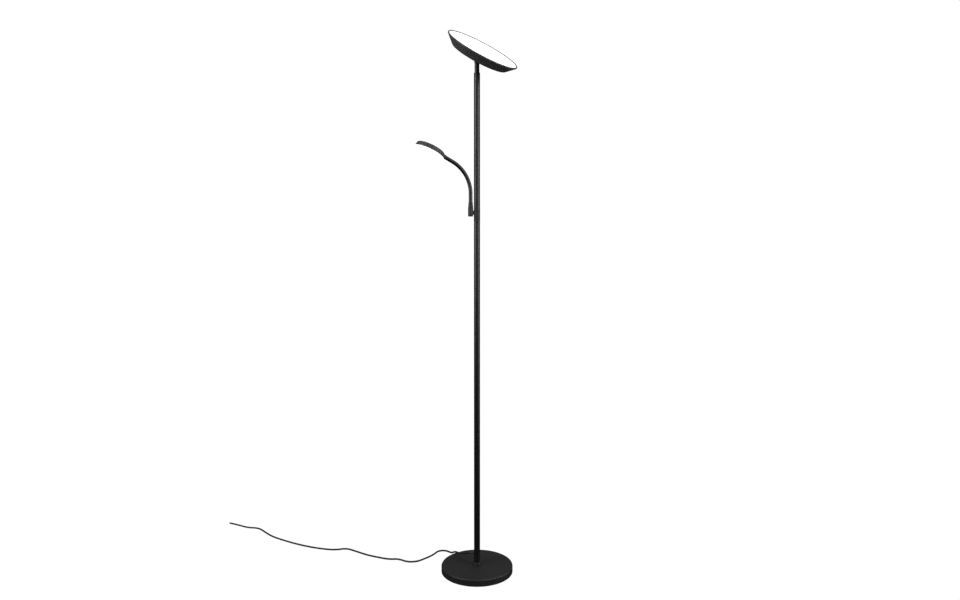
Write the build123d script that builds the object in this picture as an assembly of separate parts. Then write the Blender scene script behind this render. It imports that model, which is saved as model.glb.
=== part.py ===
from build123d import *
import math
import os

# Floor lamp: round weighted base, slim pole, tilting uplight dish and a gooseneck reading arm.
# Millimetres, +Z up. The origin is on the floor, at the pole's axis.

# ---------------------------------------------------------------- driving dimensions

# base
BASE_RADIUS = 119.4
BASE_TOP = 22.8
BASE_WALL = 1.5
BASE_EDGE = 4.5
SKIRT_BOTTOM = 0.6
FELT_THICKNESS = 1.2
FELT_RADIUS = 116.0
PLATE_THICKNESS = 1.5
WEIGHT_RADIUS = 114.0
WEIGHT_POCKET_RADIUS = 30.0
WEIGHT_POCKET_DEPTH = 9.0
COLLAR_RADIUS = 15.5
COLLAR_HEIGHT = 7.5
PLATE_SCREW_RADIUS = 1.6
PLATE_SCREW_LENGTH = 8.0
PLATE_SCREW_CIRCLE = 90.0
WASHER_RADIUS = 13.0
WASHER_THICKNESS = 2.0
NUT_FLATS = 14.0
NUT_HEIGHT = 4.5

# threaded lamp pipe, the M10 standard of lamp making
NIPPLE_RADIUS = 5.0
NIPPLE_BORE = 3.5
PIPE_HOLE = NIPPLE_RADIUS + 0.1

# pole
POLE_RADIUS = 10.2
POLE_WALL = 1.2
POLE_BORE = POLE_RADIUS - POLE_WALL
POLE_FOOT = BASE_TOP + COLLAR_HEIGHT
BLOCK_BOTTOM = 1166.7
BLOCK_TOP = 1207.6
POLE_TOP = 1653.4
TUBE_COUNT = 3
TUBE_LENGTH = (BLOCK_BOTTOM - POLE_FOOT) / TUBE_COUNT
COUPLER_LENGTH = 40.0
COUPLER_BORE = 6.0
INSERT_LENGTH = 14.0
CABLE_RADIUS = 2.5
CABLE_BEND = 6.0
CABLE_START = 6.5

# tilting dish
PIVOT_Z = 1687.8
NECK_RADIUS = 8.0
NECK_DEPTH = 50.0
FORK_SLOT = 6.0
FORK_SLOT_BOTTOM = 1656.0
FORK_FLAT = NECK_RADIUS - 1.4
FORK_BORE = CABLE_RADIUS + 0.8
CLIP_RADIUS = NECK_RADIUS - 1.2
CLIP_THICKNESS = 1.2
CLIP_GROOVE = 4.0
HEAD_AZIMUTH = -43.8
HEAD_TILT = 37.9
DISH_RADIUS = 125.0
DISH_DEPTH = 31.5
DISH_LIP = 3.6
DISH_FLOOR_RADIUS = 95.5
DISH_CORNER = 12.0
DISH_WALL = 1.5
DISH_TO_PIVOT = 14.8
DISH_HOLE = 4.0
BEZEL_WIDTH = 4.0
BEZEL_THICKNESS = 2.4
DIFFUSER_THICKNESS = 1.6
DIFFUSER_FACE = -1.9
LED_PLATE_RADIUS = 106.0
LED_PLATE_THICKNESS = 1.5
LED_PLATE_Z = DISH_TO_PIVOT + 15.5
LED_RINGS = ((24.0, 6), (48.0, 12), (72.0, 18))
LED_CHIP = (2.8, 3.5, 0.8)
POST_COUNT = 4
POST_CIRCLE = 84.0
POST_RADIUS = 4.0
DRIVER_SIZE = (44.0, 70.0, 12.0)
DRIVER_REACH = 50.0
SMALL_SCREW_RADIUS = 1.5
SMALL_HEAD_RADIUS = 2.8
SMALL_HEAD_HEIGHT = 1.6
TONGUE_THICKNESS = 5.8
TONGUE_RADIUS = 7.0
TONGUE_PLATE_RADIUS = 17.0
TONGUE_PLATE_THICKNESS = 2.0
TONGUE_SCREW_COUNT = 3
TONGUE_SCREW_CIRCLE = 12.0
BOLT_RADIUS = 2.5
BOLT_HEAD_RADIUS = 4.4
BOLT_HEAD_HEIGHT = 2.2
BOLT_SOCKET_DEPTH = 1.2
BOLT_NUT_FLATS = 8.0
BOLT_NUT_HEIGHT = 2.4

# reading arm, built along +X and then turned to its place
ARM_AZIMUTH = 197.3
BLOCK_RADIUS = 10.45
BLOCK_GAP = 0.1
BLOCK_TAPER = 9.0
SPOT_FACE_DEPTH = 0.7
ARM_Z = 1198.0
FERRULE_REACH = 21.9
FERRULE_RADIUS = 8.6
FERRULE_BOTTOM = 1185.3
FERRULE_TOP = 1212.5
FERRULE_CAVITY = 6.5
FERRULE_FLOOR = 3.0
FERRULE_ROOF = 4.0
WIRE_HOLE = 4.0
CONE_TOP = 1232.0
BOSS_RADIUS = 6.8
BOSS_START = 8.0
SEAT_MARGIN = 2.4
STUD_RADIUS = 3.0
STUD_BORE = 1.6
STUD_START = 5.6
STUD_END = 21.0
STUD_WASHER_RADIUS = 4.8
STUD_WASHER_THICKNESS = 1.0
STUD_NUT_FLATS = 8.8
STUD_NUT_HEIGHT = 3.2
STUD_POCKET_RADIUS = 5.6
STUD_SEAT = FERRULE_REACH - FERRULE_CAVITY - 0.5
NECK_TUBE_RADIUS = 6.4
NECK_TUBE_BORE = 3.5
BEND_START_Z = 1260.1
BEND_RADIUS = 113.3
BEND_ANGLE = 62.0
BEND_TAIL = 38.0
BEND_JOINTS = 4
BEND_GAP = 2.0

# reading lamp: a tapered black housing over a shallow opal cup
READ_REACH = 163.7
READ_Z = 1381.0
READ_TILT = 24.3
READ_RADIUS = 50.6
READ_TOP_RADIUS = 48.1
READ_THICKNESS = 21.6
READ_WALL = 1.6
READ_CUP_DEPTH = 5.4
READ_CUP_RADIUS = 51.8
READ_CUP_WALL = 2.0
SPIGOT_RADIUS = 48.3
SPIGOT_WALL = 1.5
SPIGOT_HEIGHT = 2.0
READ_BOARD_RADIUS = 37.0
READ_BOARD_THICKNESS = 1.6
READ_BOARD_Z = READ_THICKNESS - READ_WALL - READ_BOARD_THICKNESS
READ_LED_COUNT = 12
READ_LED_CIRCLE = 29.0
READ_SCREW_COUNT = 3
READ_SCREW_CIRCLE = 18.0
READ_SCREW_RADIUS = 1.25
READ_SCREW_HEAD_RADIUS = 2.4
READ_SCREW_HEAD_HEIGHT = 1.5

# push buttons on the back of the joint block
BUTTON_AZIMUTH = 65.0
BUTTON_RADIUS = 4.0
BUTTON_START = 8.0
BUTTON_END = 11.2
BUTTON_WELL = 6.4
SWITCH_RADIUS = 2.6
BUTTON_HEIGHTS = {"button_uplight": 1192.5, "button_reading": 1179.5}

# mains cord
CORD_DIAMETER = 6.0
CORD_Z = CORD_DIAMETER / 2 + 0.05
EXIT_AZIMUTH = 135.0
EXIT_Z = 64.0
EXIT_SLOPE = 22.0
RELIEF_START = 8.0
RELIEF_END = 38.0
RELIEF_FOOT_RADIUS = 5.6
RELIEF_TIP_RADIUS = CORD_DIAMETER / 2 + 0.7
RELIEF_NECK = 4.1
COIL_RADIUS = 30.0
TURN_RADIUS = COIL_RADIUS + CORD_DIAMETER / 2
COIL_BOTTOM = 0.9
COIL_HEIGHT = 2 * CORD_DIAMETER + 0.2
TIE_THICKNESS = 0.7
TIE_WIDTH = 6.0
TIE_ANGLE = 255.0
PLUG_THICKNESS = 13.7
PLUG_WIDTH = 35.0
PLUG_LENGTH = 33.0
PLUG_SLEEVE = 18.0
PIN_RADIUS = 2.0
PIN_LENGTH = 19.0
PIN_SPACING = 18.6

RUNNING_CLEARANCE = 0.05
FREE_CLEARANCE = 0.3


# ---------------------------------------------------------------- helpers

def disc(radius, bottom, top):
    """A solid cylinder on the Z axis between two heights."""
    height = top - bottom
    return Pos(0, 0, bottom + height / 2) * Cylinder(radius, height)


def tube(outer, inner, bottom, top):
    """A round tube on the Z axis between two heights."""
    return disc(outer, bottom, top) - disc(inner, bottom - 1, top + 1)


def turned(points, radii=0):
    """A solid of revolution about Z from (radius, height) points, with corner radii."""
    outline = FilletPolyline(*[(r, 0, z) for r, z in points], radius=radii, close=True)
    return revolve(make_face(outline), Axis.Z)


def along_x(radius, start, end, height=0.0):
    """A solid cylinder parallel to X between two places."""
    length = end - start
    return Pos(start + length / 2, 0, height) * Rot(0, 90, 0) * Cylinder(radius, length)


def hexagon(across_flats, bottom, top):
    """A hexagonal prism on the Z axis."""
    height = top - bottom
    profile = RegularPolygon(across_flats / 2, 6, major_radius=False)
    return Pos(0, 0, bottom) * extrude(profile, height)


def ring_of(item, count, radius, start=0.0):
    """Equal copies of an item on a circle about Z, as one group of separate solids."""
    places = [start + 360.0 * index / count for index in range(count)]
    return [Rot(0, 0, angle) * Pos(radius, 0, 0) * item for angle in places]


def group(items):
    """Several separate solids kept together as one node."""
    solids = []
    for item in items:
        solids += list(item.solids())
    return Compound(children=solids)


# ---------------------------------------------------------------- frames

HEAD_FRAME = Pos(0, 0, PIVOT_Z) * Rot(0, 0, HEAD_AZIMUTH) * Rot(0, HEAD_TILT, 0)
YOKE_FRAME = Rot(0, 0, HEAD_AZIMUTH)
ARM_FRAME = Rot(0, 0, ARM_AZIMUTH)
BUTTON_FRAME = Rot(0, 0, BUTTON_AZIMUTH)
# the reading lamp's local +Z points out of its back, away from the light
READ_FRAME = ARM_FRAME * Pos(READ_REACH, 0, READ_Z) * Rot(0, -READ_TILT, 0)
EXIT_FRAME = Rot(0, 0, EXIT_AZIMUTH) * Pos(0, 0, EXIT_Z) * Rot(0, EXIT_SLOPE, 0)


# ---------------------------------------------------------------- base

def base_cover():
    inside = BASE_RADIUS - BASE_WALL
    ceiling = BASE_TOP - BASE_WALL
    outer = [(PIPE_HOLE, BASE_TOP), (BASE_RADIUS, BASE_TOP), (BASE_RADIUS, SKIRT_BOTTOM)]
    inner = [(inside, SKIRT_BOTTOM), (inside, ceiling), (PIPE_HOLE, ceiling)]
    return turned(outer + inner, [0, BASE_EDGE, 0.4, 0.4, BASE_EDGE - BASE_WALL, 0])


def plate_screw_ring(bottom, top):
    """Four equal cylinders where the base plate is screwed to the weight."""
    return ring_of(disc(PLATE_SCREW_RADIUS, bottom, top), 4, PLATE_SCREW_CIRCLE, 45.0)


def base_weight():
    bottom = FELT_THICKNESS + PLATE_THICKNESS
    body = tube(WEIGHT_RADIUS, PIPE_HOLE, bottom, BASE_TOP - BASE_WALL)
    body -= disc(WEIGHT_POCKET_RADIUS, bottom - 1, bottom + WEIGHT_POCKET_DEPTH)
    for hole in plate_screw_ring(bottom - 1, bottom + PLATE_SCREW_LENGTH):
        body -= hole
    return body


def base_plate():
    bottom = FELT_THICKNESS
    body = disc(FELT_RADIUS + 0.5, bottom, bottom + PLATE_THICKNESS)
    for hole in plate_screw_ring(bottom - 1, bottom + PLATE_THICKNESS + 1):
        body -= hole
    return body


def base_felt():
    return disc(FELT_RADIUS, 0, FELT_THICKNESS)


def base_screws():
    return group(plate_screw_ring(FELT_THICKNESS, FELT_THICKNESS + PLATE_SCREW_LENGTH))


def foot_collar():
    points = [(PIPE_HOLE, BASE_TOP), (COLLAR_RADIUS, BASE_TOP), (COLLAR_RADIUS, POLE_FOOT - 1.0)]
    points += [(POLE_RADIUS + 1.2, POLE_FOOT), (PIPE_HOLE, POLE_FOOT)]
    return turned(points, [0, 0.8, 2.2, 1.0, 0])


def base_nipple():
    bottom = FELT_THICKNESS + PLATE_THICKNESS + 1.0
    return tube(NIPPLE_RADIUS, NIPPLE_BORE, bottom, POLE_FOOT + INSERT_LENGTH)


def base_washer():
    top = FELT_THICKNESS + PLATE_THICKNESS + WEIGHT_POCKET_DEPTH
    return tube(WASHER_RADIUS, NIPPLE_RADIUS, top - WASHER_THICKNESS, top)


def base_nut():
    top = FELT_THICKNESS + PLATE_THICKNESS + WEIGHT_POCKET_DEPTH - WASHER_THICKNESS
    bottom = top - NUT_HEIGHT
    return hexagon(NUT_FLATS, bottom, top) - disc(NIPPLE_RADIUS, bottom - 1, top + 1)


# ---------------------------------------------------------------- pole

def pole_insert():
    return tube(POLE_BORE, NIPPLE_RADIUS, POLE_FOOT, POLE_FOOT + INSERT_LENGTH)


def pole_tube(index):
    bottom = POLE_FOOT + index * TUBE_LENGTH
    body = tube(POLE_RADIUS, POLE_BORE, bottom, bottom + TUBE_LENGTH)
    if index == 0:
        body -= EXIT_FRAME * along_x(RELIEF_NECK, 0, 2 * POLE_RADIUS)
    return body


def pole_couplers():
    couplers = []
    for index in range(1, TUBE_COUNT):
        middle = POLE_FOOT + index * TUBE_LENGTH
        low = middle - COUPLER_LENGTH / 2
        couplers.append(tube(POLE_BORE, COUPLER_BORE, low, low + COUPLER_LENGTH))
    return group(couplers)


def block_inserts():
    low = tube(POLE_BORE, NIPPLE_RADIUS, BLOCK_BOTTOM - INSERT_LENGTH, BLOCK_BOTTOM)
    high = tube(POLE_BORE, NIPPLE_RADIUS, BLOCK_TOP, BLOCK_TOP + INSERT_LENGTH)
    return group([low, high])


def block_nipple():
    body = tube(NIPPLE_RADIUS, NIPPLE_BORE, BLOCK_BOTTOM - INSERT_LENGTH, BLOCK_TOP + INSERT_LENGTH)
    wire_window = Pos(NIPPLE_RADIUS, 0, ARM_Z) * Box(6.0, 4.0, 5.0)
    return body - ARM_FRAME * wire_window


def pole_tube_top():
    return tube(POLE_RADIUS, POLE_BORE, BLOCK_TOP, POLE_TOP)


def neck_bushing():
    bore = NECK_RADIUS + RUNNING_CLEARANCE
    return tube(POLE_BORE, bore, POLE_TOP - NECK_DEPTH, POLE_TOP)


def pole_cable():
    start = EXIT_FRAME * Pos(CABLE_START, 0, 0)
    top = POLE_TOP - NECK_DEPTH - 2 * CLIP_GROOVE
    path = FilletPolyline(start.position, (0, 0, EXIT_Z), (0, 0, top), radius=[CABLE_BEND])
    profile = Plane(origin=path @ 0, z_dir=path % 0) * Circle(CABLE_RADIUS)
    return sweep(profile, path=path)


# ---------------------------------------------------------------- neck and tilting dish

def at_pivot(item):
    """Place an item on the tilt axis, its own Z along the axis."""
    return Pos(0, 0, PIVOT_Z) * Rot(90, 0, 0) * item


def neck_fork():
    """A round stem, slotted at the top, with flats for the bolt's head and its nut."""
    top = PIVOT_Z + NECK_RADIUS
    bottom = POLE_TOP - NECK_DEPTH
    body = disc(NECK_RADIUS, bottom, PIVOT_Z)
    body += at_pivot(Cylinder(NECK_RADIUS, 2 * NECK_RADIUS))
    body &= disc(NECK_RADIUS, bottom, top)
    slot_height = top - FORK_SLOT_BOTTOM + 1
    body -= Pos(0, 0, FORK_SLOT_BOTTOM + slot_height / 2) * Box(30, FORK_SLOT, slot_height)
    body -= disc(FORK_BORE, bottom - 1, FORK_SLOT_BOTTOM + 1)
    body += tube(CLIP_RADIUS, FORK_BORE, bottom - CLIP_GROOVE, bottom)
    body -= at_pivot(Cylinder(BOLT_RADIUS, 4 * NECK_RADIUS))
    flat_width = 13.0
    flat_depth = 10.0
    for side in (-1, 1):
        place = Pos(0, side * (FORK_FLAT + flat_depth / 2), PIVOT_Z)
        body -= place * Box(flat_width, flat_depth, flat_width)
    return YOKE_FRAME * body


def neck_clip():
    top = POLE_TOP - NECK_DEPTH - FREE_CLEARANCE
    return tube(POLE_BORE - 0.4, CLIP_RADIUS, top - CLIP_THICKNESS, top)


def tilt_bolt():
    shank = at_pivot(disc(BOLT_RADIUS, -FORK_FLAT - BOLT_NUT_HEIGHT, FORK_FLAT))
    head_top = FORK_FLAT + BOLT_HEAD_HEIGHT
    head = at_pivot(disc(BOLT_HEAD_RADIUS, FORK_FLAT, head_top))
    socket = at_pivot(hexagon(3.0, head_top - BOLT_SOCKET_DEPTH, head_top + 1))
    return YOKE_FRAME * (shank + head - socket)


def tilt_nut():
    body = hexagon(BOLT_NUT_FLATS, -FORK_FLAT - BOLT_NUT_HEIGHT, -FORK_FLAT)
    body -= disc(BOLT_RADIUS, -2 * NECK_RADIUS, 0)
    return YOKE_FRAME * at_pivot(body)


def at_dish(item):
    """Place an item given in the dish's own heights, where 0 is the top of its rim."""
    return HEAD_FRAME * Pos(0, 0, DISH_TO_PIVOT + DISH_DEPTH) * item


def tongue_screw_ring(radius, bottom, top):
    """Three equal cylinders where the tongue's plate is screwed to the dish."""
    return ring_of(disc(radius, bottom, top), TONGUE_SCREW_COUNT, TONGUE_SCREW_CIRCLE, 60.0)


def post_ring(item):
    """Equal copies of an item where the LED plate stands on its posts."""
    return ring_of(item, POST_COUNT, POST_CIRCLE, 45.0)


def dish_shell():
    wall = DISH_WALL
    rim = -BEZEL_THICKNESS
    inset = 0.6
    outer = [(DISH_RADIUS, rim), (DISH_RADIUS, -DISH_LIP), (DISH_FLOOR_RADIUS, -DISH_DEPTH)]
    floor = [(DISH_HOLE, -DISH_DEPTH), (DISH_HOLE, -DISH_DEPTH + wall)]
    inner = [(DISH_FLOOR_RADIUS - inset, -DISH_DEPTH + wall), (DISH_RADIUS - wall, -DISH_LIP - inset)]
    outline = outer + floor + inner + [(DISH_RADIUS - wall, rim)]
    shell = turned(outline, [0, 1.5, DISH_CORNER, 0, 0, DISH_CORNER - 2.0, 0.6, 0])
    for hole in tongue_screw_ring(SMALL_SCREW_RADIUS, -DISH_DEPTH - 1, -DISH_DEPTH + 2 * wall):
        shell -= hole
    return at_dish(shell)


def dish_bezel():
    inner = DISH_RADIUS - BEZEL_WIDTH
    low = -BEZEL_THICKNESS
    corners = [(inner, low), (DISH_RADIUS, low), (DISH_RADIUS, 0), (inner, 0)]
    return at_dish(turned(corners, [0, 0, 0.8, 0.6]))


def dish_diffuser():
    low = -BEZEL_THICKNESS - DIFFUSER_THICKNESS
    edge = disc(DISH_RADIUS - DISH_WALL - 0.2, low, -BEZEL_THICKNESS)
    face = disc(DISH_RADIUS - BEZEL_WIDTH, low, DIFFUSER_FACE)
    return at_dish(edge + face)


def led_plate():
    top = LED_PLATE_Z + LED_PLATE_THICKNESS
    plate = disc(LED_PLATE_RADIUS, LED_PLATE_Z, top)
    for hole in post_ring(disc(SMALL_SCREW_RADIUS, LED_PLATE_Z - 1, top + 1)):
        plate -= hole
    return HEAD_FRAME * plate


def led_chips():
    middle = LED_PLATE_Z + LED_PLATE_THICKNESS + LED_CHIP[2] / 2
    chips = []
    for radius, count in LED_RINGS:
        chips += ring_of(Pos(0, 0, middle) * Box(*LED_CHIP), count, radius)
    return group([HEAD_FRAME * chip for chip in chips])


def dish_driver():
    middle = DISH_TO_PIVOT + DISH_WALL + DRIVER_SIZE[2] / 2
    box = Pos(DRIVER_REACH, 0, middle) * Box(*DRIVER_SIZE)
    return HEAD_FRAME * fillet(box.edges().filter_by(Axis.Z), 2.0)


def plate_posts():
    post = tube(POST_RADIUS, SMALL_SCREW_RADIUS, DISH_TO_PIVOT + DISH_WALL, LED_PLATE_Z)
    return group([HEAD_FRAME * item for item in post_ring(post)])


def plate_screws():
    seat = LED_PLATE_Z + LED_PLATE_THICKNESS
    screw = disc(SMALL_SCREW_RADIUS, seat - 8.0, seat)
    screw += disc(SMALL_HEAD_RADIUS, seat, seat + SMALL_HEAD_HEIGHT)
    return group([HEAD_FRAME * item for item in post_ring(screw)])


def tilt_tongue():
    plate_bottom = DISH_TO_PIVOT - TONGUE_PLATE_THICKNESS
    blade_height = DISH_TO_PIVOT - TONGUE_PLATE_THICKNESS / 2
    body = disc(TONGUE_PLATE_RADIUS, plate_bottom, DISH_TO_PIVOT)
    body += Rot(90, 0, 0) * Cylinder(TONGUE_RADIUS, TONGUE_THICKNESS)
    body += Pos(0, 0, blade_height / 2) * Box(2 * TONGUE_RADIUS, TONGUE_THICKNESS, blade_height)
    body -= Rot(90, 0, 0) * Cylinder(BOLT_RADIUS + RUNNING_CLEARANCE, 4 * NECK_RADIUS)
    for hole in tongue_screw_ring(SMALL_SCREW_RADIUS, plate_bottom - 1, DISH_TO_PIVOT + 1):
        body -= hole
    return HEAD_FRAME * body


def tongue_screws():
    seat = DISH_TO_PIVOT - TONGUE_PLATE_THICKNESS
    shanks = tongue_screw_ring(SMALL_SCREW_RADIUS, seat, DISH_TO_PIVOT + 4.0)
    heads = tongue_screw_ring(SMALL_HEAD_RADIUS, seat - SMALL_HEAD_HEIGHT, seat)
    return group([HEAD_FRAME * (shank + head) for shank, head in zip(shanks, heads)])


# ---------------------------------------------------------------- joint block and buttons

def arm_block():
    low = BLOCK_BOTTOM + BLOCK_GAP
    high = BLOCK_TOP - BLOCK_GAP
    bore = NIPPLE_RADIUS + RUNNING_CLEARANCE
    points = [(bore, low), (POLE_RADIUS, low), (BLOCK_RADIUS, low + BLOCK_TAPER)]
    points += [(BLOCK_RADIUS, high), (bore, high)]
    body = turned(points, [0, 0.15, 3.0, 0.25, 0])
    outside = BLOCK_RADIUS + 3.0
    seat = along_x(BOSS_RADIUS + FREE_CLEARANCE, BOSS_START - 0.1, outside, ARM_Z)
    spot_face = along_x(BOSS_RADIUS + SEAT_MARGIN, BOSS_START + SPOT_FACE_DEPTH, outside, ARM_Z)
    thread = along_x(STUD_RADIUS, 0.0, outside, ARM_Z)
    body -= ARM_FRAME * (seat + spot_face + thread)
    for height in BUTTON_HEIGHTS.values():
        body -= BUTTON_FRAME * along_x(BUTTON_RADIUS + 0.2, BUTTON_WELL, outside, height)
    return body


def button_switches():
    end = BUTTON_START - 0.8
    heights = BUTTON_HEIGHTS.values()
    return group([BUTTON_FRAME * along_x(SWITCH_RADIUS, BUTTON_WELL, end, height) for height in heights])


def push_button(name):
    height = BUTTON_HEIGHTS[name]
    cap = along_x(BUTTON_RADIUS, BUTTON_START, BUTTON_END, height)
    cap = fillet(cap.edges().group_by(Axis.X)[-1], 0.6)
    return BUTTON_FRAME * cap


def arm_stud():
    body = along_x(STUD_RADIUS, STUD_START, STUD_END, ARM_Z)
    body -= along_x(STUD_BORE, STUD_START - 1, STUD_END + 1, ARM_Z)
    return ARM_FRAME * body


def stud_washer():
    end = STUD_SEAT + STUD_WASHER_THICKNESS
    body = along_x(STUD_WASHER_RADIUS, STUD_SEAT, end, ARM_Z)
    body -= along_x(STUD_RADIUS + 0.1, STUD_SEAT - 1, end + 1, ARM_Z)
    return ARM_FRAME * body


def stud_nut():
    start = STUD_SEAT + STUD_WASHER_THICKNESS
    body = Pos(start, 0, ARM_Z) * Rot(0, 90, 0) * hexagon(STUD_NUT_FLATS, 0, STUD_NUT_HEIGHT)
    body -= along_x(STUD_RADIUS, start - 1, start + STUD_NUT_HEIGHT + 1, ARM_Z)
    return ARM_FRAME * body


# ---------------------------------------------------------------- ferrule

def at_ferrule(item):
    return ARM_FRAME * Pos(FERRULE_REACH, 0, 0) * item


def ferrule():
    """An upright cup for the stud's nut, with the boss that turns in the joint block."""
    middle = Pos(FERRULE_REACH, 0, 0)
    floor = FERRULE_BOTTOM + FERRULE_FLOOR
    roof = FERRULE_TOP - FERRULE_ROOF
    body = middle * disc(FERRULE_RADIUS, floor, FERRULE_TOP)
    body += along_x(BOSS_RADIUS, BOSS_START, FERRULE_REACH, ARM_Z)
    body -= middle * disc(FERRULE_CAVITY, floor - 1, roof)
    body -= middle * disc(WIRE_HOLE, roof - 1, FERRULE_TOP + 1)
    body -= along_x(STUD_RADIUS + RUNNING_CLEARANCE, BOSS_START - 1, FERRULE_REACH, ARM_Z)
    body -= along_x(STUD_POCKET_RADIUS, STUD_SEAT - 0.1, FERRULE_REACH, ARM_Z)
    return ARM_FRAME * body


def ferrule_cap():
    skirt = FERRULE_BOTTOM + FERRULE_FLOOR
    lid = disc(FERRULE_RADIUS - 0.1, FERRULE_BOTTOM, skirt)
    lid = fillet(lid.edges().group_by(Axis.Z)[0], 1.2)
    spigot = disc(FERRULE_CAVITY, skirt, skirt + 2.0)
    return at_ferrule(lid + spigot)


def ferrule_cone():
    outer = [(FERRULE_RADIUS - 0.2, FERRULE_TOP), (NECK_TUBE_RADIUS + 0.5, CONE_TOP)]
    bore = [(NECK_TUBE_RADIUS, CONE_TOP), (NECK_TUBE_RADIUS, NECK_START_Z)]
    floor = [(WIRE_HOLE, NECK_START_Z), (WIRE_HOLE, FERRULE_TOP)]
    return at_ferrule(turned(outer + bore + floor))


# ---------------------------------------------------------------- gooseneck

NECK_START_Z = FERRULE_TOP + FERRULE_ROOF
NECK_STRAIGHT = BEND_START_Z - NECK_START_Z
NECK_ARC = BEND_RADIUS * math.radians(BEND_ANGLE)
FLEX_START = CONE_TOP - NECK_START_Z + 3.0
NECK_LENGTH = NECK_STRAIGHT + NECK_ARC + BEND_TAIL
FLEX_STEP = (NECK_LENGTH - FLEX_START) / BEND_JOINTS


def neck_point(distance):
    """Place and direction (angle from vertical, degrees) on the gooseneck's centre line."""
    if distance <= NECK_STRAIGHT:
        return FERRULE_REACH, NECK_START_Z + distance, 0.0
    angle = min((distance - NECK_STRAIGHT) / BEND_RADIUS, math.radians(BEND_ANGLE))
    x = FERRULE_REACH + BEND_RADIUS * (1 - math.cos(angle))
    z = BEND_START_Z + BEND_RADIUS * math.sin(angle)
    rest = max(distance - NECK_STRAIGHT - NECK_ARC, 0.0)
    return x + rest * math.sin(angle), z + rest * math.cos(angle), math.degrees(angle)


def bend_distance(index):
    """Distance along the gooseneck of its bending joint 1 to 4."""
    return FLEX_START + (index - 0.5) * FLEX_STEP


def neck_piece(start, end):
    """One length of the gooseneck between two distances along it."""
    edges = []
    limits = [start, end]
    for corner in (NECK_STRAIGHT, NECK_STRAIGHT + NECK_ARC):
        if start < corner < end:
            limits.append(corner)
    limits.sort()
    for low, high in zip(limits, limits[1:]):
        a = neck_point(low)
        m = neck_point((low + high) / 2)
        b = neck_point(high)
        points = [(p[0], 0, p[1]) for p in (a, m, b)]
        if abs(b[2] - a[2]) < 0.01:
            edges.append(Line(points[0], points[2]))
        else:
            edges.append(ThreePointArc(*points))
    path = Wire(edges)
    section = Circle(NECK_TUBE_RADIUS) - Circle(NECK_TUBE_BORE)
    profile = Plane(origin=path @ 0, z_dir=path % 0) * section
    return ARM_FRAME * sweep(profile, path=path)


def gooseneck(index):
    """Length 1 is held in the cone, lengths 2 to 5 follow the four bending joints."""
    start = 0.0 if index == 1 else bend_distance(index - 1) + BEND_GAP / 2
    end = NECK_LENGTH if index == BEND_JOINTS + 1 else bend_distance(index) - BEND_GAP / 2
    return neck_piece(start, end)


# ---------------------------------------------------------------- reading lamp

def read_housing():
    """A tapered lid, with a hole in its side for the gooseneck."""
    low = READ_CUP_DEPTH
    high = READ_THICKNESS
    outer = [(READ_RADIUS, low), (READ_TOP_RADIUS, high), (0, high)]
    inner = [(0, high - READ_WALL), (READ_TOP_RADIUS - READ_WALL, high - READ_WALL)]
    lip = [(READ_RADIUS - READ_WALL, low)]
    body = turned(outer + inner + lip, [0.4, 2.5, 0, 0, 1.2, 0.3])
    return READ_FRAME * body - neck_hole()


def neck_end(item):
    """Place an item at the gooseneck's end, its own +Z along the tube."""
    x, z, angle = neck_point(NECK_LENGTH)
    return ARM_FRAME * Pos(x, 0, z) * Rot(0, angle, 0) * item


def neck_hole():
    reach = 16.0
    hole = disc(NECK_TUBE_RADIUS + 0.02, -reach, 0) + disc(NECK_TUBE_BORE, -1, 6.0)
    return neck_end(hole)


def neck_socket():
    """A short bush between the gooseneck's end and the housing's side."""
    ring = tube(NECK_TUBE_RADIUS + 0.8, NECK_TUBE_RADIUS, -9.0, 0)
    return neck_end(ring) - READ_FRAME * read_envelope()


def read_envelope():
    """The housing's outer shape without its rounding or hollow."""
    low = READ_CUP_DEPTH - 1
    slope = (READ_RADIUS - READ_TOP_RADIUS) / (READ_THICKNESS - READ_CUP_DEPTH)
    outline = [(0, low), (READ_RADIUS + slope, low), (READ_TOP_RADIUS, READ_THICKNESS)]
    top = READ_THICKNESS + 3 * NECK_TUBE_RADIUS
    return turned(outline + [(READ_TOP_RADIUS, top), (0, top)])


def read_diffuser():
    """A shallow opal cup with a spigot that fits inside the housing."""
    cup = disc(READ_CUP_RADIUS, 0, READ_CUP_DEPTH)
    cup = fillet(cup.edges().group_by(Axis.Z)[0], 1.8)
    cup -= disc(SPIGOT_RADIUS - SPIGOT_WALL, READ_CUP_WALL, READ_CUP_DEPTH + 1)
    spigot = tube(SPIGOT_RADIUS, SPIGOT_RADIUS - SPIGOT_WALL, READ_CUP_DEPTH, READ_CUP_DEPTH + SPIGOT_HEIGHT)
    return READ_FRAME * (cup + spigot)


def read_screw_ring(item):
    return ring_of(item, READ_SCREW_COUNT, READ_SCREW_CIRCLE, 60.0)


def read_board():
    top = READ_BOARD_Z + READ_BOARD_THICKNESS
    board = disc(READ_BOARD_RADIUS, READ_BOARD_Z, top)
    for hole in read_screw_ring(disc(READ_SCREW_RADIUS, READ_BOARD_Z - 1, top + 1)):
        board -= hole
    return READ_FRAME * board


def read_leds():
    chip = Pos(0, 0, READ_BOARD_Z - LED_CHIP[2] / 2) * Box(*LED_CHIP)
    return group([READ_FRAME * item for item in ring_of(chip, READ_LED_COUNT, READ_LED_CIRCLE)])


def read_screws():
    shank = disc(READ_SCREW_RADIUS, READ_BOARD_Z, READ_BOARD_Z + READ_BOARD_THICKNESS)
    head = disc(READ_SCREW_HEAD_RADIUS, READ_BOARD_Z - READ_SCREW_HEAD_HEIGHT, READ_BOARD_Z)
    return group([READ_FRAME * item for item in read_screw_ring(shank + head)])


# ---------------------------------------------------------------- mains cord

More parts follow.
